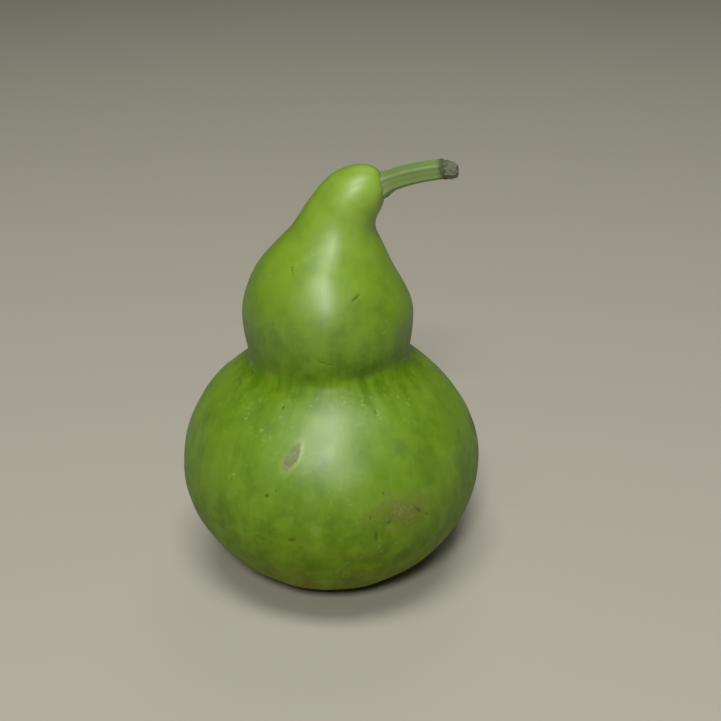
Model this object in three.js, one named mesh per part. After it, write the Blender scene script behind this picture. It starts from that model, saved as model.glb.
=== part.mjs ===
// A fresh bottle gourd that stands on its blossom end, with the cut stalk still on its crown.
// Millimetres, +Z up. The origin is the middle of the foot, the crown bends over toward +X,
// and -Y is the side that faces the viewer.
import * as THREE from 'three';
import { mergeVertices } from 'three/addons/utils/BufferGeometryUtils.js';

// Distances called "height" below are measured along the fruit's spine, from the foot up.

// Lower bulb: an ellipsoid. Its lowest tip would lie below the floor, which leaves a flat foot.
const lowerRadius = 90;
const lowerBottom = -3.2;
const lowerTop = 154;

// Upper bulb: an ellipsoid up to its widest height, then a bell-shaped shoulder down to the neck.
const upperRadius = 49.6;
const upperBottom = 106.7;
const upperWidest = 171.8;
const shoulderTop = 235.6;
const shoulderPower = 0.75;

// Neck and crown: the neck's radius, and the blunt round end that closes it.
const neckRadius = 19.5;
const crownStart = 216.2;
const crownEnd = 262.1;
const crownBluntness = 3;

// How far the skin fills the crease at the waist, in radius.
const waistBlend = 28;

// The spine's lean from upright: each bend turns by its angle between two heights.
const spineBends = [
  { turn: -1.8, from: 120, to: 145 },
  { turn: 11, from: 159, to: 210.5 },
  { turn: 80, from: 217.5, to: 273 },
];

// Blossom end: a shallow dimple in the middle of the foot.
const dimpleRadius = 9;
const dimpleDepth = 2.2;
const dimpleRings = 4;

// Stalk seat: a shallow round socket in the end of the crown.
const seatRimHeight = 260.9;
const seatRadius = 7.5;
const seatDepth = 2.5;
const seatFloor = seatRimHeight - seatDepth;

// Rings of skin on each stretch of the fruit, from the foot up to the rim of the stalk seat.
const skinStretches = [
  { from: 0, to: 130, rings: 25 },
  { from: 130, to: 160, rings: 10 },
  { from: 160, to: 217, rings: 10 },
  { from: 217, to: seatRimHeight, rings: 15 },
];
const skinSides = 48;

// Stalk: five ribs along a shaft that rises from the seat and flattens out toward the cut.
// The path's points are [out, up] from the seat's floor, in an upright plane turned to the viewer.
const stalkTurn = 10;
const stalkPathPoints = [[2.6, 0.75], [11.7, 6.4], [25.7, 10.6], [45.7, 13.2]];
const stalkBaseRadius = 5.9;
const stalkCutRadius = 5.4;
const stalkFlare = 0.4;
const stalkFlareLength = 6;
const ribCount = 5;
const ribRise = 0.06;
const ribFacing = 37.5;
const stalkSides = 30;
const shaftRings = 18;

// Cut end: the last of the stalk has dried to a blunt knob.
const knobLength = 9.5;
const knobDroop = 1.4;
const knobRings = 7;

const { clamp, degToRad, lerp, smoothstep } = THREE.MathUtils;

// How far a height lies between two others, from 0 to 1.
function shareBetween(height, from, to) {
  return clamp((height - from) / (to - from), 0, 1);
}

function lowerBulbRadius(height) {
  const along = 2 * shareBetween(height, lowerBottom, lowerTop) - 1;
  return lowerRadius * Math.sqrt(1 - along ** 2);
}

function upperBulbRadius(height) {
  const below = shareBetween(height, upperWidest, upperBottom);
  return upperRadius * Math.sqrt(1 - below ** 2);
}

// The shoulder falls along a cosine bell to the neck, and the crown closes like a blunt ellipse.
function shoulderRadius(height) {
  const fall = shareBetween(height, upperWidest, shoulderTop);
  const bell = (0.5 + 0.5 * Math.cos(Math.PI * fall)) ** shoulderPower;
  const crown = shareBetween(height, crownStart, crownEnd);
  const closing = (1 - crown ** crownBluntness) ** (1 / crownBluntness);
  return lerp(neckRadius, upperRadius, bell) * closing;
}

// The larger of two radii, with the crease between them filled by a cubic over the blend.
function filletedMax(first, second, blend) {
  const closeness = Math.max(blend - Math.abs(first - second), 0) / blend;
  return Math.max(first, second) + (closeness ** 3 * blend) / 6;
}

function skinRadius(height) {
  const upper = height < upperWidest ? upperBulbRadius(height) : shoulderRadius(height);
  return filletedMax(lowerBulbRadius(height), upper, waistBlend);
}

function spineLean(height) {
  const turned = spineBends.map(({ turn, from, to }) => turn * smoothstep(height, from, to));
  return degToRad(turned.reduce((sum, turn) => sum + turn, 0));
}

// The spine's point at a height: short steps, each along the lean half way through it.
function spinePoint(height) {
  const steps = 300;
  const step = height / steps;
  const point = new THREE.Vector3();
  for (let i = 0; i < steps; i += 1) {
    const lean = spineLean((i + 0.5) * step);
    point.x += step * Math.sin(lean);
    point.z += step * Math.cos(lean);
  }
  return point;
}

// The fruit's outline between two heights, as (radius, height) points.
class SkinOutline extends THREE.Curve {
  constructor(from, to) {
    super();
    this.from = from;
    this.to = to;
  }

  getPoint(share) {
    const height = lerp(this.from, this.to, share);
    return new THREE.Vector2(skinRadius(height), height);
  }
}

// A lathe-turned profile whose rings are then moved from the straight axis onto a bent one.
// place() takes a height and returns that ring's centre and the directions of its two axes.
function bentLathe(profile, sides, place, section) {
  const geometry = new THREE.LatheGeometry(profile, sides);
  geometry.deleteAttribute('normal');
  geometry.deleteAttribute('uv');
  const vertices = geometry.getAttribute('position');
  const frames = profile.map((point) => place(point.y));
  for (let i = 0; i < vertices.count; i += 1) {
    const { centre, across, side } = frames[i % profile.length];
    const alongAcross = vertices.getX(i);
    const alongSide = -vertices.getZ(i);
    const swell = section(Math.atan2(alongSide, alongAcross));
    const point = centre.clone();
    point.addScaledVector(across, alongAcross * swell);
    point.addScaledVector(side, alongSide * swell);
    vertices.setXYZ(i, point.x, point.y, point.z);
  }
  const closed = mergeVertices(geometry, 1e-4);
  closed.computeVertexNormals();
  return closed;
}

function gourdBody() {
  const profile = [];
  for (let i = 0; i < dimpleRings; i += 1) {
    const share = i / dimpleRings;
    profile.push(new THREE.Vector2(dimpleRadius * share, dimpleDepth * (1 - share ** 2) ** 2));
  }
  profile.push(new THREE.Vector2(dimpleRadius, 0));
  for (const { from, to, rings } of skinStretches) {
    profile.push(...new SkinOutline(from, to).getSpacedPoints(rings).slice(0, -1));
  }
  profile.push(new THREE.Vector2(skinRadius(seatRimHeight), seatRimHeight));
  profile.push(new THREE.Vector2(seatRadius, seatFloor));
  profile.push(new THREE.Vector2(0, seatFloor));

  const place = (height) => {
    const lean = spineLean(height);
    return {
      centre: spinePoint(height),
      across: new THREE.Vector3(Math.cos(lean), 0, -Math.sin(lean)),
      side: new THREE.Vector3(0, 1, 0),
    };
  };
  const skin = new THREE.MeshStandardMaterial({ color: 0x7d9a35, roughness: 0.42, metalness: 0 });
  const mesh = new THREE.Mesh(bentLathe(profile, skinSides, place, () => 1), skin);
  mesh.name = 'gourd_body';
  return mesh;
}

function stalk() {
  const turn = degToRad(stalkTurn);
  const outward = new THREE.Vector3(Math.cos(turn), -Math.sin(turn), 0);
  const away = new THREE.Vector3(Math.sin(turn), Math.cos(turn), 0);
  const path = new THREE.CubicBezierCurve3(
    ...stalkPathPoints.map(([out, up]) => {
      const point = spinePoint(seatFloor).addScaledVector(outward, out);
      point.z += up;
      return point;
    }),
  );
  const length = path.getLength();
  const cut = length - knobLength;

  const profile = [new THREE.Vector2(0, 0)];
  for (let i = 0; i <= shaftRings; i += 1) {
    const along = (cut * i) / shaftRings;
    const flare = stalkFlare * Math.exp(-((along / stalkFlareLength) ** 2));
    profile.push(new THREE.Vector2(lerp(stalkBaseRadius, stalkCutRadius, along / cut) + flare, along));
  }
  for (let i = 1; i <= knobRings; i += 1) {
    const angle = (Math.PI / 2) * (i / knobRings);
    const radius = i < knobRings ? stalkCutRadius * Math.cos(angle) ** 0.8 : 0;
    profile.push(new THREE.Vector2(radius, cut + knobLength * Math.sin(angle)));
  }

  const place = (along) => {
    const share = along / length;
    const tangent = path.getTangentAt(share);
    const droop = knobDroop * smoothstep(along, cut, length);
    return {
      centre: path.getPointAt(share).addScaledVector(new THREE.Vector3(0, 0, 1), -droop),
      across: new THREE.Vector3().crossVectors(away, tangent),
      side: away,
    };
  };
  const ribAngle = degToRad(ribFacing + 90);
  const section = (angle) => 1 + ribRise * Math.cos(ribCount * (angle + ribAngle));
  const skin = new THREE.MeshStandardMaterial({ color: 0x71894a, roughness: 0.6, metalness: 0 });
  const mesh = new THREE.Mesh(bentLathe(profile, stalkSides, place, section), skin);
  mesh.name = 'stalk';
  return mesh;
}

const bottleGourd = new THREE.Group();
bottleGourd.name = 'bottle_gourd';
bottleGourd.add(gourdBody(), stalk());

export default bottleGourd;
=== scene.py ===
import bpy
import numpy as np
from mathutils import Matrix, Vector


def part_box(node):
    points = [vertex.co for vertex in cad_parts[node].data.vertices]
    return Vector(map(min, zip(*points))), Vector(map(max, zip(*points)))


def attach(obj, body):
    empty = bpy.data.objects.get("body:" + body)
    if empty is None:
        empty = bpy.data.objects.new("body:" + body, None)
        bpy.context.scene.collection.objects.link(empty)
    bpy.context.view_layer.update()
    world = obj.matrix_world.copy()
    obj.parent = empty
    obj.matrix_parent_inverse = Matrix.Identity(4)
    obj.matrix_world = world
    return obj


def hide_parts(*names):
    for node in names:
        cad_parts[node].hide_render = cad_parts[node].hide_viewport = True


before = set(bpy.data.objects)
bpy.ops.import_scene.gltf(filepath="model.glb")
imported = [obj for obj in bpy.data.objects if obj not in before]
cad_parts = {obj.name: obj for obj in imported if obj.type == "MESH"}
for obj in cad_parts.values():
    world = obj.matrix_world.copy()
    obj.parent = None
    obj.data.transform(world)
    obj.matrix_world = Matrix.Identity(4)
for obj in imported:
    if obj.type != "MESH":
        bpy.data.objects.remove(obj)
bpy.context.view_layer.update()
print("frame loaded:", ", ".join(sorted(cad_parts)))

# The fruit's form in millimetres. Heights run along its spine, from the foot up.
gourd = {
    "lowerRadius": 90, "lowerBottom": -3.2, "lowerTop": 154,
    "upperRadius": 49.6, "upperBottom": 106.7, "upperWidest": 171.8,
    "shoulderTop": 235.6, "shoulderPower": 0.75,
    "neckRadius": 19.5, "crownStart": 216.2, "crownEnd": 262.1, "crownBluntness": 3,
    "waistBlend": 28,
    "spineEnd": 264,
    "bends": [(-1.8, 120, 145), (11, 159, 210.5), (80, 217.5, 273)],  # degrees, between two heights
    "dimpleRadius": 9, "dimpleDepth": 2.2,
    "footRings": 16, "skinRings": 236, "sides": 384,
}
bodyLow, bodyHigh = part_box("gourd_body")
mm = (bodyHigh.x - bodyLow.x) / 2 / gourd["lowerRadius"]  # one of its millimetres, in the frame's metres


# Shape helpers: each works on whole arrays.
def between(value, start, end):
    return np.clip((value - start) / (end - start), 0, 1)


def eased(value, start, end):
    share = between(value, start, end)
    return share * share * (3 - 2 * share)


# A sum of plane sine waves in random directions: soft lumps, one unit high in the root mean square.
def lumps(points, wavelength, seed, waves=24):
    draw = np.random.default_rng(seed)
    directions = draw.normal(size=(waves, 3))
    directions /= np.linalg.norm(directions, axis=1, keepdims=True)
    pitch = 2 * np.pi / (wavelength * draw.uniform(0.7, 1.4, waves))
    phases = draw.uniform(0, 2 * np.pi, waves)
    return np.sin(points @ (directions * pitch[:, None]).T + phases).sum(-1) * np.sqrt(2 / waves)


# Outward normals of a grid of rings: the cross product of its two directions.
def gridNormals(rings):
    along = np.gradient(rings, axis=0)
    around = np.roll(rings, -1, axis=1) - np.roll(rings, 1, axis=1)
    normals = np.cross(around, along)
    return normals / np.maximum(np.linalg.norm(normals, axis=-1, keepdims=True), 1e-9)


# A closed skin over rings of points. The first and last ring shrink to one point each.
def skinOver(name, rings, attributes):
    rows, sides = rings.shape[:2]

    def closed(values):
        tail = values.shape[2:]
        ends = [values[:1].mean(axis=1), values[1:-1].reshape(-1, *tail), values[-1:].mean(axis=1)]
        return np.concatenate(ends).astype(np.float32)

    points = closed(rings)
    ring = 1 + np.arange((rows - 2) * sides).reshape(rows - 2, sides)
    onward = np.roll(ring, -1, axis=1)
    quads = np.stack([ring[:-1], onward[:-1], onward[1:], ring[1:]], axis=-1).reshape(-1)
    lowFan = np.stack([np.zeros_like(ring[0]), onward[0], ring[0]], axis=-1).reshape(-1)
    highFan = np.stack([ring[-1], onward[-1], np.full_like(ring[0], len(points) - 1)], axis=-1).reshape(-1)
    corners = np.concatenate([quads, lowFan, highFan])
    sizes = np.concatenate([np.full(len(quads) // 4, 4), np.full(2 * sides, 3)])

    mesh = bpy.data.meshes.new(name)
    mesh.vertices.add(len(points))
    mesh.vertices.foreach_set("co", points.ravel())
    mesh.loops.add(len(corners))
    mesh.loops.foreach_set("vertex_index", corners.astype(np.int32))
    mesh.polygons.add(len(sizes))
    mesh.polygons.foreach_set("loop_start", np.concatenate([[0], np.cumsum(sizes)[:-1]]).astype(np.int32))
    mesh.polygons.foreach_set("use_smooth", np.ones(len(sizes), bool))
    mesh.update(calc_edges=True)
    for label, values in attributes.items():
        kind, key = ("FLOAT_VECTOR", "vector") if values.ndim == 3 else ("FLOAT", "value")
        mesh.attributes.new(label, kind, "POINT").data.foreach_set(key, closed(values).ravel())
    piece = bpy.data.objects.new(name, mesh)
    bpy.context.scene.collection.objects.link(piece)
    return piece


# Lower bulb: an ellipse. Upper bulb: an ellipse, then a cosine bell down to the neck, which closes
# like a blunt ellipse. The larger of the two counts, with a cubic fill where they come close.
def skinRadius(height):
    g = gourd
    lower = g["lowerRadius"] * np.sqrt(1 - (2 * between(height, g["lowerBottom"], g["lowerTop"]) - 1) ** 2)
    below = g["upperRadius"] * np.sqrt(1 - between(height, g["upperWidest"], g["upperBottom"]) ** 2)
    fall = between(height, g["upperWidest"], g["shoulderTop"])
    bell = (0.5 + 0.5 * np.cos(np.pi * fall)) ** g["shoulderPower"]
    blunt = g["crownBluntness"]
    closing = (1 - between(height, g["crownStart"], g["crownEnd"]) ** blunt) ** (1 / blunt)
    above = (g["neckRadius"] + (g["upperRadius"] - g["neckRadius"]) * bell) * closing
    upper = np.where(height < g["upperWidest"], below, above)
    near = np.maximum(g["waistBlend"] - np.abs(lower - upper), 0) / g["waistBlend"]
    return np.maximum(lower, upper) + near ** 3 * g["waistBlend"] / 6


# The spine leans by eased bends, and its points are the running sum of short steps along that lean.
def spineAt(height):
    fine = np.linspace(0, gourd["spineEnd"], 2400)
    lean = sum(np.radians(turn) * eased(fine, start, end) for turn, start, end in gourd["bends"])
    middle = (lean[1:] + lean[:-1]) / 2
    step = fine[1]
    x = np.concatenate([[0], np.cumsum(step * np.sin(middle))])
    z = np.concatenate([[0], np.cumsum(step * np.cos(middle))])
    return [np.interp(height, fine, values) for values in (x, z, lean)]


# Distance along the skin from the foot's edge, for heights on the outline.
def climbTable(count=3000):
    height = gourd["crownEnd"] * np.sin(np.linspace(0, np.pi / 2, count))  # closer steps at the blunt end
    radius = skinRadius(height)
    climb = np.concatenate([[0], np.cumsum(np.hypot(np.diff(height), np.diff(radius)))])
    return height, climb


# Marks on the skin: (height, turn, length, width, tilt) in millimetres and degrees. Turn 0 is the
# front and runs to the right; tilt leans a mark's long way from the meridian to the right.
skinMarks = {
    "cork": [(117, -15, 18, 7, 20)],
    "russet": [(85, 27, 46, 23, 103)],
    "speck": [
        (83.5, 34, 10.5, 2, -36), (78.5, 38, 3.2, 2, 0), (81.5, 22, 3.6, 3, 0), (74.5, 17, 10, 1.8, 5),
        (98, 20.5, 2.4, 2, 0), (95, 14.5, 2.2, 1.7, 0), (86, 15, 2.2, 1.8, 0),
        (96, -23, 4.4, 2.7, 60), (99.5, -19.5, 2.6, 2, 0), (72, -13, 5.4, 2.5, 80),
        (136.5, -26.5, 4, 2.2, 10), (134, 26, 2.6, 2.2, 0), (199, 21.7, 10.5, 1.7, 49),
        (162, -1, 11, 1.5, -74), (206.5, -38, 9, 1.3, -37), (230.5, 97, 2.6, 2.2, 0),
    ],
    "pale": [
        (80, -4.5, 13, 9, 0), (134.5, 56.5, 2.4, 2.4, 0), (144.5, -11, 2.4, 2, 0), (143, 14, 2.4, 2, 0),
    ],
}
# Marks on the sides that the front doesn't show, drawn at random within these limits.
hiddenMarks = {
    "seed": 41, "turns": (75, 285),
    "cork": {"count": 3, "heights": (55, 125), "length": (9, 17), "width": (3.5, 6)},
    "russet": {"count": 2, "heights": (50, 100), "length": (26, 40), "width": (14, 20)},
    "speck": {"count": 34, "heights": (25, 215), "length": (1.8, 6), "width": (1.4, 2.4)},
    "pale": {"count": 8, "heights": (40, 215), "length": (4, 13), "width": (3, 8)},
}


def allMarks():
    draw = np.random.default_rng(hiddenMarks["seed"])
    marks = {}
    for kind, seen in skinMarks.items():
        limits = hiddenMarks[kind]
        count = limits["count"]
        heights = draw.uniform(*limits["heights"], count)
        turns = draw.uniform(*hiddenMarks["turns"], count)
        lengths = draw.uniform(*limits["length"], count)
        widths = np.minimum(draw.uniform(*limits["width"], count), lengths)
        tilts = draw.uniform(-90, 90, count)
        hidden = np.stack([heights, turns, lengths, widths, tilts], axis=1)
        marks[kind] = np.vstack([np.array(seen, float), hidden])
    return marks


# A mark's field is 1 in its middle and 0 on the rim of its ellipse, measured along the skin.
def markField(marks, climb, turn, radius, climbOf):
    field = np.full((len(climb), len(turn)), -1.0)
    for height, markTurn, length, width, tilt in marks:
        aside = (np.remainder(turn - np.radians(markTurn) + np.pi, 2 * np.pi) - np.pi) * radius[:, None]
        up = (climb - climbOf(height))[:, None]
        lean = np.radians(tilt)
        long = (up * np.cos(lean) + aside * np.sin(lean)) / (length / 2)
        wide = (aside * np.cos(lean) - up * np.sin(lean)) / (width / 2)
        field = np.maximum(field, 1 - np.hypot(long, wide))
    return field


# How the skin departs from its plain form: heights, depths and lengths in millimetres.
relief = {
    "lobeHeight": 0.4, "lobeLength": 95, "lobeSeed": 5, "dentHeight": 0.16, "dentLength": 26, "dentSeed": 6,
    "offFoot": (2, 26), "offCrown": (0.7, 0.85),  # where relief fades: skin climb, then share of it
    "armpitFrom": (204, 220), "armpitTo": (242, 254), "armpitSide": (-0.1, 0.7),  # heights, sine of the turn
    "armpitReach": 16, "armpitSpread": 6,  # in rings
    "crownRibs": 5, "crownRibHeight": 0.35, "crownRibReach": 16, "crownRibEnd": 5,
    "corkHeight": 0.35, "corkRim": 0.25, "russetHeight": 0.09, "russetLength": 9, "russetSeed": 7,
    "speckDepth": 0.3,
    # where a mark's relief starts and is full, from its rim (0) to its middle (1)
    "corkEdge": (-0.1, 0.25), "corkMiddle": (0.25, 0.7), "russetEdge": (0, 0.5), "speckEdge": (-0.1, 0.6),
    "buttonRadius": 4.2, "buttonHeight": 1.1,
}


def makeGourd():
    skinHeight, skinClimb = climbTable()
    footRadius = skinRadius(np.array([0.0]))[0]

    # Rings: over the foot from its middle out, then up the skin at equal steps to the crown's tip.
    footOut = np.linspace(0, footRadius, gourd["footRings"], endpoint=False)
    dimple = gourd["dimpleDepth"] * (1 - between(footOut, 0, gourd["dimpleRadius"]) ** 2) ** 2
    button = relief["buttonHeight"] * (1 - between(footOut, 0, relief["buttonRadius"]) ** 2)
    steps = np.linspace(0, skinClimb[-1], gourd["skinRings"])
    height = np.concatenate([dimple - button, np.interp(steps, skinClimb, skinHeight)])
    climb = np.concatenate([footOut - footRadius, steps])
    radius = np.concatenate([footOut, skinRadius(height[len(footOut):])])
    radius[-1] = 0
    turn = np.linspace(0, 2 * np.pi, gourd["sides"], endpoint=False)

    x, z, lean = (values[:, None] for values in spineAt(np.maximum(height, 0)))
    onFoot = np.arange(len(height)) < len(footOut)
    z = np.where(onFoot[:, None], height[:, None], z)
    right = radius[:, None] * np.sin(turn)
    front = radius[:, None] * np.cos(turn)
    rings = np.stack([x + right * np.cos(lean), -front + 0 * x, z - right * np.sin(lean)], axis=-1)

    # The armpit under the crown: rings are averaged along the skin there, which rounds the fold.
    span = relief["armpitReach"]
    reach = np.arange(-span, span + 1)
    weights = np.exp(-0.5 * (reach / relief["armpitSpread"]) ** 2)
    padded = np.pad(rings, ((span, span), (0, 0), (0, 0)), mode="edge")
    shifted = [padded[span + k:span + k + len(rings)] for k in reach]
    rounded = sum(weight * ring for weight, ring in zip(weights / weights.sum(), shifted))
    underCrown = eased(height, *relief["armpitFrom"]) * (1 - eased(height, *relief["armpitTo"]))
    fold = underCrown[:, None] * eased(np.sin(turn), *relief["armpitSide"])
    rings = rings + fold[..., None] * (rounded - rings)

    # Marks first, because the relief follows them.
    def climbOf(markHeight):
        return np.interp(markHeight, skinHeight, skinClimb)

    fields = {kind: markField(marks, climb, turn, radius, climbOf) for kind, marks in allMarks().items()}

    flat = rings.reshape(-1, 3)
    shape = rings.shape[:2]
    offFoot = eased(climb, *relief["offFoot"])[:, None]
    offCrown = 1 - eased(climb / climb[-1], *relief["offCrown"])[:, None]
    lobes = lumps(flat, relief["lobeLength"], relief["lobeSeed"]).reshape(shape)
    dents = lumps(flat, relief["dentLength"], relief["dentSeed"]).reshape(shape)
    rise = offFoot * offCrown * relief["lobeHeight"] * lobes
    rise += offFoot * relief["dentHeight"] * dents
    ribs = 0.5 + 0.5 * np.cos(relief["crownRibs"] * turn)
    nearTip = eased(climb, climb[-1] - relief["crownRibReach"], climb[-1] - relief["crownRibEnd"])[:, None]
    rise += relief["crownRibHeight"] * ribs * nearTip
    rough = lumps(flat, relief["russetLength"], relief["russetSeed"]).reshape(shape)
    cork = fields["cork"]
    raised = relief["corkHeight"] * eased(cork, *relief["corkEdge"])
    rise += raised - relief["corkRim"] * eased(cork, *relief["corkMiddle"])
    rise += relief["russetHeight"] * rough * eased(fields["russet"], *relief["russetEdge"])
    rise -= relief["speckDepth"] * eased(fields["speck"], *relief["speckEdge"])
    rise[-1] = rise[-1].mean()
    rise[onFoot] = 0
    rings = rings + gridNormals(rings) * rise[..., None]

    # Grain runs with the meridians: a turn on a circle as wide as the fruit, and a slow climb.
    wide = gourd["lowerRadius"]
    circle = (wide * np.sin(turn), -wide * np.cos(turn))
    grain = np.stack(np.broadcast_arrays(*circle, climb[:, None]), axis=-1)
    share = np.broadcast_to((climb / climb[-1])[:, None], shape)
    attributes = {"skinGrain": grain * mm, "skinShare": share, **fields}
    return skinOver("gourdSkin", rings * mm, attributes)


# The stalk, in millimetres. Its path leaves the floor of the crown's seat as [out, up] points in an
# upright plane that is turned toward the front.
stalk = {
    "seatFloor": 258.4, "turn": 10, "path": [(2.6, 0.75), (11.7, 6.4), (25.7, 10.6), (45.7, 13.2)],
    "sunk": 4.5, "baseRadius": 5.9, "cutRadius": 5.4, "flare": 1.5, "flareLength": 4.2,
    "ribs": 5, "ribRise": 0.085, "ribEdge": 0.024, "ribFacing": 37.5, "striae": 31, "striaHeight": 0.02,
    "knobLength": 9.5, "knobDroop": 1.4, "shaftRings": 150, "sides": 160,
    # the dried end's outline: radius as a share of the cut's, and distance as a share of the knob
    "knobOutline": [(1, 0), (1.05, 0.05), (1, 0.15), (0.96, 0.35), (0.9, 0.58), (0.8, 0.78), (0.62, 0.93),
                    (0.4, 1), (0.2, 0.96), (0, 0.92)],
    "knobRings": 70, "foldHeight": 0.17, "folds": 9, "crumbleHeight": 0.13, "crumbleLength": 2.2,
    "crumbleSeed": 11,
    # shares of the dried end over which the ribs fade, the folds rise and sink, and the crumble rises
    "ribFade": (0.02, 0.25), "foldRise": (0.06, 0.3), "foldSink": (0.85, 1), "crumbleRise": (0.04, 0.2),
}


# A smooth curve through a few points: each stretch is a cubic, set by its two ends and their neighbours.
def curveThrough(points, count):
    points = np.array(points, float)
    padded = np.vstack([2 * points[0] - points[1], points, 2 * points[-1] - points[-2]])
    place = np.linspace(0, len(points) - 1, count)
    left = np.minimum(place.astype(int), len(points) - 2)
    t = (place - left)[:, None]
    a, b, c, d = (padded[left + k] for k in range(4))
    square, cube = 2 * a - 5 * b + 4 * c - d, 3 * b - a - 3 * c + d
    return 0.5 * (2 * b + (c - a) * t + square * t ** 2 + cube * t ** 3)


# Distances and points along the stalk's cubic path, which runs back straight into the crown.
def stalkPath(count=600):
    x, z, _ = spineAt(np.array([stalk["seatFloor"]]))
    out = np.radians(stalk["turn"])
    plan = np.array([[np.cos(out), -np.sin(out), 0], [0, 0, 1]])
    a, b, c, d = np.array([x[0], 0, z[0]]) + np.array(stalk["path"]) @ plan
    t = np.linspace(0, 1, count)[:, None]
    points = a * (1 - t) ** 3 + 3 * b * t * (1 - t) ** 2 + 3 * c * t ** 2 * (1 - t) + d * t ** 3
    inside = a - (b - a) / np.linalg.norm(b - a) * stalk["sunk"]
    points = np.vstack([inside, points])
    along = np.concatenate([[0], np.cumsum(np.linalg.norm(np.diff(points, axis=0), axis=1))])
    return along - stalk["sunk"], points


def makeStalk():
    pathAlong, pathPoints = stalkPath()
    cut = pathAlong[-1] - stalk["knobLength"]
    shaft = np.linspace(pathAlong[0], cut, stalk["shaftRings"], endpoint=False)
    shaftRadius = np.interp(shaft, [0, cut], [stalk["baseRadius"], stalk["cutRadius"]])
    shaftRadius = shaftRadius + stalk["flare"] * np.exp(-(np.maximum(shaft, 0) / stalk["flareLength"]) ** 2)
    knob = curveThrough(stalk["knobOutline"], stalk["knobRings"])
    along = np.concatenate([shaft[:1], shaft, cut + stalk["knobLength"] * knob[:, 1]])
    radius = np.concatenate([[0], shaftRadius, stalk["cutRadius"] * knob[:, 0]])
    radius[-1] = 0

    # Centre line, its direction, and two axes across it: one toward the back, one up.
    centre = np.stack([np.interp(along, pathAlong, pathPoints[:, k]) for k in range(3)], axis=-1)
    dried = between(along, cut, cut + stalk["knobLength"])
    centre[:, 2] -= stalk["knobDroop"] * eased(dried, 0, 1)
    slope = np.gradient(pathPoints, pathAlong, axis=0)
    tangent = np.stack([np.interp(along, pathAlong, slope[:, k]) for k in range(3)], axis=-1)
    tangent /= np.linalg.norm(tangent, axis=1, keepdims=True)
    out = np.radians(stalk["turn"])
    back = np.broadcast_to([np.sin(out), np.cos(out), 0], tangent.shape)
    up = np.cross(tangent, back)

    # Ribs: a cosine with a sharper second one on it. They fade on the dried end, which folds instead.
    turn = np.linspace(0, 2 * np.pi, stalk["sides"], endpoint=False)
    phase = stalk["ribs"] * (turn - np.pi + np.radians(stalk["ribFacing"]))
    rib = np.cos(phase)
    green = 1 - eased(dried, *stalk["ribFade"])[:, None]
    section = 1 + green * (stalk["ribRise"] * rib + stalk["ribEdge"] * np.cos(2 * phase))
    striae = stalk["striaHeight"] * np.sin(stalk["striae"] * turn + 1.5 * np.sin(4 * turn)) * green
    folding = eased(dried, *stalk["foldRise"]) * (1 - eased(dried, *stalk["foldSink"]))
    wave = stalk["folds"] * turn
    folds = np.cos(wave + 1.3 * np.sin(2 * turn)) + 0.5 * np.cos(2 * wave + 1)
    spread = radius[:, None] * section + striae + stalk["foldHeight"] * folding[:, None] * folds
    spread = np.where(radius[:, None] > 0, np.maximum(spread, 0.02), 0)
    rings = centre[:, None] + spread[..., None] * (
        np.cos(turn)[:, None] * back[:, None] + np.sin(turn)[:, None] * up[:, None])
    crumble = lumps(rings.reshape(-1, 3), stalk["crumbleLength"], stalk["crumbleSeed"])
    crumbling = eased(dried, *stalk["crumbleRise"])[:, None]
    crumble = crumble.reshape(spread.shape) * stalk["crumbleHeight"] * crumbling
    crumble[-1] = crumble[-1].mean()
    rings = rings + gridNormals(rings) * crumble[..., None]

    wide = stalk["baseRadius"]
    grain = np.stack(np.broadcast_arrays(wide * np.cos(turn), wide * np.sin(turn), along[:, None]), axis=-1)
    attributes = {
        "stalkGrain": grain * mm,
        "stalkAlong": np.broadcast_to(along[:, None], spread.shape),
        "stalkDried": np.broadcast_to(((along - cut) / stalk["knobLength"])[:, None], spread.shape),
        "stalkRib": np.broadcast_to(rib, spread.shape),
    }
    return skinOver("gourdStalk", rings * mm, attributes)


# Shader helpers: put() adds a node, sets its inputs or links them, and returns it.
def put(tree, kind, inputs=None, **settings):
    node = tree.nodes.new(kind)
    for key, value in settings.items():
        setattr(node, key, value)
    for key, value in (inputs or {}).items():
        if isinstance(value, bpy.types.NodeSocket):
            tree.links.new(value, node.inputs[key])
        else:
            node.inputs[key].default_value = value
    return node


def mixed(tree, share, under, over, mode="MIX"):
    node = put(tree, "ShaderNodeMix", {0: share, 6: under, 7: over}, data_type="RGBA", blend_type=mode)
    return node.outputs[2]


def ramped(tree, value, low, high, bottom=0.0, top=1.0):
    inputs = {"Value": value, "From Min": low, "From Max": high, "To Min": bottom, "To Max": top}
    return put(tree, "ShaderNodeMapRange", inputs, interpolation_type="SMOOTHSTEP").outputs["Result"]


def worked(tree, operation, first, second=0.0):
    return put(tree, "ShaderNodeMath", {0: first, 1: second}, operation=operation).outputs[0]


def times(tree, first, second):
    return worked(tree, "MULTIPLY", first, second)


def plus(tree, first, second):
    return worked(tree, "ADD", first, second)


def noised(tree, place, scale, detail=3.0, roughness=0.55):
    inputs = {"Vector": place, "Scale": scale, "Detail": detail, "Roughness": roughness}
    return put(tree, "ShaderNodeTexNoise", inputs).outputs["Fac"]


def stretched(tree, place, along):
    return put(tree, "ShaderNodeMapping", {"Vector": place, "Scale": (1, 1, along)}).outputs["Vector"]


def read(tree, name, output="Fac"):
    return put(tree, "ShaderNodeAttribute", attribute_name=name).outputs[output]


def opaque(colour):
    return (*colour, 1)


# A colour ramp through (place, colour) stops.
def graded(tree, value, stops):
    ramp = put(tree, "ShaderNodeValToRGB", {"Fac": value})
    elements = ramp.color_ramp.elements
    for index, (place, colour) in enumerate(stops):
        stop = elements[index] if index < 2 else elements.new(place)
        stop.position = place
        stop.color = opaque(colour)
    return ramp.outputs["Color"]


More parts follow.
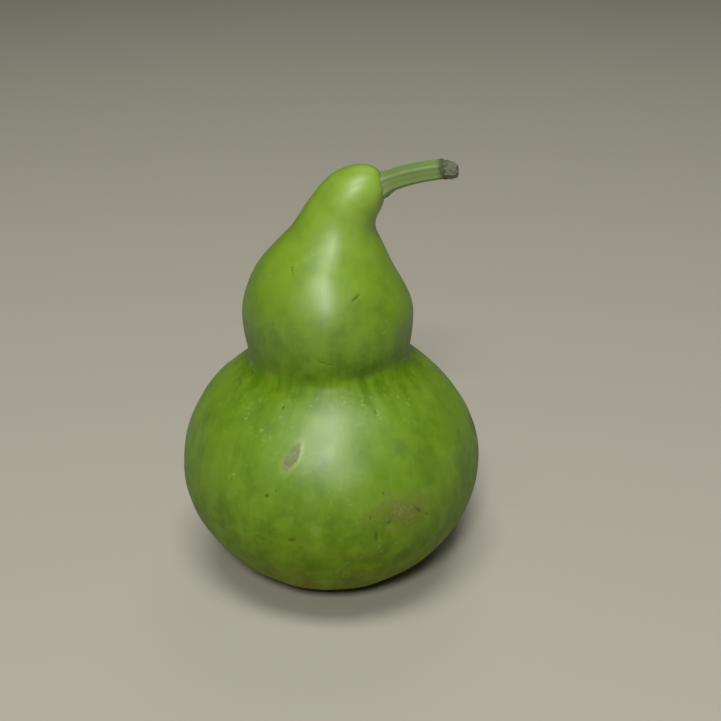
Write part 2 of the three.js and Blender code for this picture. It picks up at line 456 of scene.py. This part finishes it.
def newGroup(name, inputs, outputs):
    group = bpy.data.node_groups.new(name, "ShaderNodeTree")
    for label, kind in inputs:
        group.interface.new_socket(label, in_out="INPUT", socket_type="NodeSocket" + kind)
    for label, kind in outputs:
        group.interface.new_socket(label, in_out="OUTPUT", socket_type="NodeSocket" + kind)
    return group, group.nodes.new("NodeGroupInput").outputs, group.nodes.new("NodeGroupOutput").inputs


# Streaks that run with the growth: noise drawn out along the grain, as a mask.
def streakGroup():
    inputs = [("Grain", "Vector"), ("Scale", "Float"), ("Low", "Float"), ("High", "Float")]
    group, given, result = newGroup("growthStreaks", inputs, [("Mask", "Float")])
    noise = noised(group, given["Grain"], given["Scale"], detail=5.0, roughness=0.6)
    group.links.new(ramped(group, noise, given["Low"], given["High"]), result["Mask"])
    return group


# Dead, corky tissue: blotches of two colours, crossed by fine dark cracks, with its own height.
def corkGroup():
    inputs = [("Place", "Vector"), ("Scale", "Float"), ("Light", "Color"), ("Dark", "Color")]
    outputs = [("Color", "Color"), ("Height", "Float"), ("Ragged", "Float")]
    group, given, result = newGroup("corkTissue", inputs, outputs)
    blotch = noised(group, given["Place"], given["Scale"], detail=6.0, roughness=0.65)
    finer = times(group, given["Scale"], 2.2)
    cells = put(group, "ShaderNodeTexVoronoi", {"Vector": given["Place"], "Scale": finer},
                feature="DISTANCE_TO_EDGE").outputs["Distance"]
    crack = ramped(group, cells, 0.0, 0.16)
    pitted = ramped(group, cells, 0.0, 0.3, 0.55, 1.0)
    share = times(group, ramped(group, blotch, 0.3, 0.68), pitted)
    group.links.new(mixed(group, share, given["Dark"], given["Light"]), result["Color"])
    group.links.new(plus(group, blotch, times(group, crack, 0.6)), result["Height"])
    group.links.new(worked(group, "SUBTRACT", blotch, 0.5), result["Ragged"])
    return group


def placed(tree, group, inputs):
    return put(tree, "ShaderNodeGroup", inputs, node_tree=group).outputs


def newMaterial(name):
    material = bpy.data.materials.new(name)
    material.use_nodes = True
    return material, material.node_tree, material.node_tree.nodes["Principled BSDF"]


skinFinish = {
    # greens from the foot (0) to the stalk (1): olive-yellow at the foot, partly the skin's own yellowing
    # and partly a painted warm bounce from the floor; darker low on the lower bulb, partly painted shade;
    # painted shade in the waist crease (0.585 to 0.65); lighter toward the stalk
    "greensWithPaintedShade": [(0.0, (0.22, 0.136, 0.004)), (0.13, (0.152, 0.12, 0.002)), (0.26, (0.09, 0.146, 0.002)),
               (0.42, (0.104, 0.21, 0.004)), (0.53, (0.12, 0.24, 0.006)), (0.585, (0.068, 0.146, 0.002)),
               (0.65, (0.081, 0.178, 0.002)), (0.78, (0.178, 0.31, 0.018)), (1.0, (0.235, 0.368, 0.042))],
    "paleStreak": (0.172, 0.292, 0.013), "deepStreak": (0.05, 0.125, 0.002), "fleck": (0.29, 0.38, 0.075),
    "corkLight": (0.215, 0.245, 0.105), "corkDark": (0.12, 0.14, 0.05), "halo": (0.3, 0.39, 0.1),
    "russetLight": (0.19, 0.2, 0.045), "russetDark": (0.1, 0.098, 0.013), "speck": (0.035, 0.06, 0.006),
    "roughness": (0.44, 0.4),  # lower bulb, then crown
    # how fine each pattern is, in noise cells per metre, and how far the grain draws the streaks out
    "broadScale": 75, "narrowScale": 260, "blotchScale": 42, "driftScale": 30, "mottleScale": 110,
    "fleckScale": 300, "scarScale": 300, "patchScale": 170, "poreScale": 900, "grainStretch": 0.28,
    # how much of each is laid over what is under it
    "broadShare": 0.48, "narrowShare": 0.22, "blotchShare": 0.45, "mottleShare": 0.42, "fleckShare": 0.4,
    "paleShare": 0.28, "russetShare": 0.75, "haloShare": 0.4, "corkShare": 0.85, "speckShare": 0.7,
    "bumpStrength": 0.25, "bumpDepth": 0.0004,  # metres
    # wax on the skin from the foot (0) to the stalk (1): thin on the base, at the waist and on the neck
    "wax": [(0.0, 0.03), (0.26, 0.06), (0.35, 0.25), (0.44, 0.75), (0.54, 0.68), (0.58, 0.2), (0.63, 0.26),
            (0.705, 0.85), (0.75, 0.85), (0.8, 0.45), (0.87, 0.62), (0.92, 0.5), (1.0, 0.45)],
}


def skinMaterial(streaks, cork):
    material, tree, shader = newMaterial("gourdRind")
    look = skinFinish
    place = put(tree, "ShaderNodeTexCoord").outputs["Object"]
    grain = read(tree, "skinGrain", "Vector")
    drawn = stretched(tree, grain, look["grainStretch"])
    paleStreak, fleckColour = opaque(look["paleStreak"]), opaque(look["fleck"])

    share = read(tree, "skinShare")
    # Base greens by height: painted shade in the waist crease, and partly painted shade low on the lower
    # bulb.
    colour = graded(tree, share, look["greensWithPaintedShade"])

    def streaked(where, size, low, high):
        inputs = {"Grain": where, "Scale": look[size], "Low": low, "High": high}
        return placed(tree, streaks, inputs)["Mask"]

    # Growth streaks, broad blotches, and small pale flecks that come in drifts.
    broad = streaked(drawn, "broadScale", 0.35, 0.72)
    lower = ramped(tree, share, 0.6, 0.8, 1.0, 0.25)
    colour = mixed(tree, times(tree, times(tree, broad, look["broadShare"]), lower), colour, paleStreak)
    narrow = streaked(drawn, "narrowScale", 0.42, 0.75)
    colour = mixed(tree, times(tree, times(tree, narrow, look["narrowShare"]), lower), colour, paleStreak)
    blotch = ramped(tree, noised(tree, place, look["blotchScale"], detail=4.0), 0.42, 0.7)
    colour = mixed(tree, times(tree, blotch, look["blotchShare"]), colour, opaque(look["deepStreak"]))
    mottle = ramped(tree, noised(tree, place, look["mottleScale"], detail=4.0), 0.4, 0.68)
    colour = mixed(tree, times(tree, mottle, look["mottleShare"]), colour, paleStreak)
    fleck = streaked(place, "fleckScale", 0.57, 0.72)
    drift = ramped(tree, noised(tree, place, look["driftScale"], detail=2.0), 0.45, 0.65)
    band = times(tree, ramped(tree, share, 0.42, 0.54), ramped(tree, share, 0.565, 0.59, 1.0, 0.0))
    drifts = plus(tree, times(tree, drift, look["fleckShare"]), times(tree, band, look["fleckShare"]))
    colour = mixed(tree, times(tree, fleck, drifts), colour, fleckColour)

    # Scars and patches. Ragged noise roughens each mark's rim.
    scar = placed(tree, cork, {"Place": place, "Scale": look["scarScale"],
                               "Light": opaque(look["corkLight"]), "Dark": opaque(look["corkDark"])})
    patch = placed(tree, cork, {"Place": place, "Scale": look["patchScale"],
                                "Light": opaque(look["russetLight"]), "Dark": opaque(look["russetDark"])})

    def ragged(name, amount, low, high):
        noise = times(tree, patch["Ragged"], amount)
        return ramped(tree, plus(tree, read(tree, name), noise), low, high)

    pale = times(tree, ragged("pale", 1.6, 0.0, 0.8), look["paleShare"])
    colour = mixed(tree, pale, colour, fleckColour)
    russet = times(tree, ragged("russet", 2.0, -0.2, 0.7), look["russetShare"])
    colour = mixed(tree, russet, colour, patch["Color"])
    halo = times(tree, ragged("cork", 1.2, -0.8, 0.1), look["haloShare"])
    colour = mixed(tree, halo, colour, opaque(look["halo"]))
    corky = times(tree, ragged("cork", 1.1, -0.1, 0.3), look["corkShare"])
    colour = mixed(tree, corky, colour, scar["Color"])
    speck = times(tree, ragged("speck", 1.2, -0.15, 0.6), look["speckShare"])
    colour = mixed(tree, speck, colour, opaque(look["speck"]))
    tree.links.new(colour, shader.inputs["Base Color"])

    # Waxy sheen, duller on streaks and scars.
    dull = plus(tree, times(tree, broad, 0.06), times(tree, corky, 0.4))
    dull = plus(tree, dull, times(tree, russet, 0.25))
    smooth = ramped(tree, share, 0.45, 0.65, *look["roughness"])
    tree.links.new(plus(tree, dull, smooth), shader.inputs["Roughness"])
    pores = noised(tree, place, look["poreScale"], detail=2.0)
    height = plus(tree, times(tree, pores, 0.25), times(tree, narrow, 0.05))
    height = plus(tree, height, times(tree, times(tree, scar["Height"], corky), 1.5))
    bump = put(tree, "ShaderNodeBump", {"Height": height, "Strength": look["bumpStrength"],
                                        "Distance": look["bumpDepth"]})
    tree.links.new(bump.outputs["Normal"], shader.inputs["Normal"])
    wax = graded(tree, share, [(stop, (level,) * 3) for stop, level in look["wax"]])
    tree.links.new(wax, shader.inputs["Specular IOR Level"])
    return material


stalkFinish = {
    "green": (0.14, 0.215, 0.05), "deep": (0.085, 0.14, 0.03),
    "rib": (0.24, 0.32, 0.12), "base": (0.17, 0.215, 0.1), "baseReach": (1.0, 11.0),  # millimetres
    "driedLight": (0.165, 0.165, 0.11), "driedDark": (0.075, 0.08, 0.048), "rim": (0.05, 0.062, 0.026),
    "roughness": 0.5, "bumpStrength": 0.2, "bumpDepth": 0.0004,  # metres
    "streakScale": 700, "driedScale": 380, "grainStretch": 0.16,
    "streakShare": 0.25, "ribShare": 0.18, "baseShare": 0.6,
}


def stalkMaterial(streaks, cork):
    material, tree, shader = newMaterial("gourdStalkSkin")
    look = stalkFinish
    place = put(tree, "ShaderNodeTexCoord").outputs["Object"]
    grain = stretched(tree, read(tree, "stalkGrain", "Vector"), look["grainStretch"])
    streak = placed(tree, streaks, {"Grain": grain, "Scale": look["streakScale"],
                                    "Low": 0.35, "High": 0.7})["Mask"]
    darker = times(tree, streak, look["streakShare"])
    colour = mixed(tree, darker, opaque(look["green"]), opaque(look["deep"]))
    rib = ramped(tree, read(tree, "stalkRib"), 0.2, 1.0, 0.0, look["ribShare"])
    colour = mixed(tree, rib, colour, opaque(look["rib"]))
    base = ramped(tree, read(tree, "stalkAlong"), *look["baseReach"], look["baseShare"], 0.0)
    colour = mixed(tree, base, colour, opaque(look["base"]))

    dead = placed(tree, cork, {"Place": place, "Scale": look["driedScale"],
                               "Light": opaque(look["driedLight"]), "Dark": opaque(look["driedDark"])})
    edge = plus(tree, read(tree, "stalkDried"), times(tree, dead["Ragged"], 0.35))
    rim = ramped(tree, edge, -0.3, 0.2)
    dried = ramped(tree, edge, 0.12, 0.45)
    colour = mixed(tree, rim, colour, opaque(look["rim"]))
    colour = mixed(tree, dried, colour, dead["Color"])
    tree.links.new(colour, shader.inputs["Base Color"])
    tree.links.new(plus(tree, times(tree, rim, 0.3), look["roughness"]), shader.inputs["Roughness"])
    height = plus(tree, times(tree, streak, 0.4), times(tree, dead["Height"], dried))
    bump = put(tree, "ShaderNodeBump", {"Height": height, "Strength": look["bumpStrength"],
                                        "Distance": look["bumpDepth"]})
    tree.links.new(bump.outputs["Normal"], shader.inputs["Normal"])
    return material


# Stage: a pale floor, two soft lights above the camera, a weak one behind, and the camera.
stage = {
    "floorHalf": 6.0, "floorColour": (0.42, 0.4, 0.32), "floorRoughness": 0.75,
    "skyColour": (0.8, 0.82, 0.84), "skyStrength": 0.03,
    "aim": (17.85, 0, 140.2), "distance": 716.5, "elevation": 26, "lens": 60,
    "lights": [
        # name, azimuth from the front to the right, elevation, metres away, width, height, watts
        ("frontLight", -6, 41, 3.2, 0.48, 0.48, 59),
        ("topLight", -5, 69, 3.2, 1.4, 0.8, 65),
        ("backLight", 168, 52, 3.2, 1.6, 1.6, 9),
    ],
}


def towards(azimuth, elevation):
    a, e = np.radians([azimuth, elevation])
    return np.array([np.sin(a) * np.cos(e), -np.cos(a) * np.cos(e), np.sin(e)])


def turnedTo(thing, place, azimuth, elevation):
    thing.location = place
    thing.rotation_euler = (np.radians(90 - elevation), 0, np.radians(azimuth))
    bpy.context.scene.collection.objects.link(thing)


def makeStage():
    half = stage["floorHalf"]
    mesh = bpy.data.meshes.new("paleFloor")
    corners = [(-half, -half, 0), (half, -half, 0), (half, half, 0), (-half, half, 0)]
    mesh.from_pydata(corners, [], [(0, 1, 2, 3)])
    floor = bpy.data.objects.new("paleFloor", mesh)
    bpy.context.scene.collection.objects.link(floor)
    material, _, shader = newMaterial("paleFloorPaint")
    shader.inputs["Base Color"].default_value = opaque(stage["floorColour"])
    shader.inputs["Roughness"].default_value = stage["floorRoughness"]
    mesh.materials.append(material)

    world = bpy.data.worlds.new("studioSky")
    bpy.context.scene.world = world
    world.use_nodes = True
    sky = world.node_tree.nodes["Background"]
    sky.inputs["Color"].default_value = opaque(stage["skyColour"])
    sky.inputs["Strength"].default_value = stage["skyStrength"]

    aim = np.array(stage["aim"]) * mm
    for name, azimuth, elevation, away, width, height, watts in stage["lights"]:
        lamp = bpy.data.lights.new(name, "AREA")
        lamp.shape = "RECTANGLE"
        lamp.size, lamp.size_y, lamp.energy = width, height, watts
        spot = aim + away * towards(azimuth, elevation)
        turnedTo(bpy.data.objects.new(name, lamp), spot, azimuth, elevation)

    lens = bpy.data.cameras.new("photoCamera")
    lens.lens = stage["lens"]
    camera = bpy.data.objects.new("photoCamera", lens)
    away = stage["distance"] * mm
    turnedTo(camera, aim + away * towards(0, stage["elevation"]), 0, stage["elevation"])
    bpy.context.scene.camera = camera
    bpy.context.scene.view_settings.view_transform = "Standard"


makeStage()
print("stage set: floor, lights and camera")

streaks, cork = streakGroup(), corkGroup()
rind = makeGourd()
rind.data.materials.append(skinMaterial(streaks, cork))
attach(rind, "root")
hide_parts("gourd_body")
print("gourd skin:", len(rind.data.polygons), "faces")

stem = makeStalk()
stem.data.materials.append(stalkMaterial(streaks, cork))
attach(stem, "root")
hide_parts("stalk")
print("stalk:", len(stem.data.polygons), "faces")
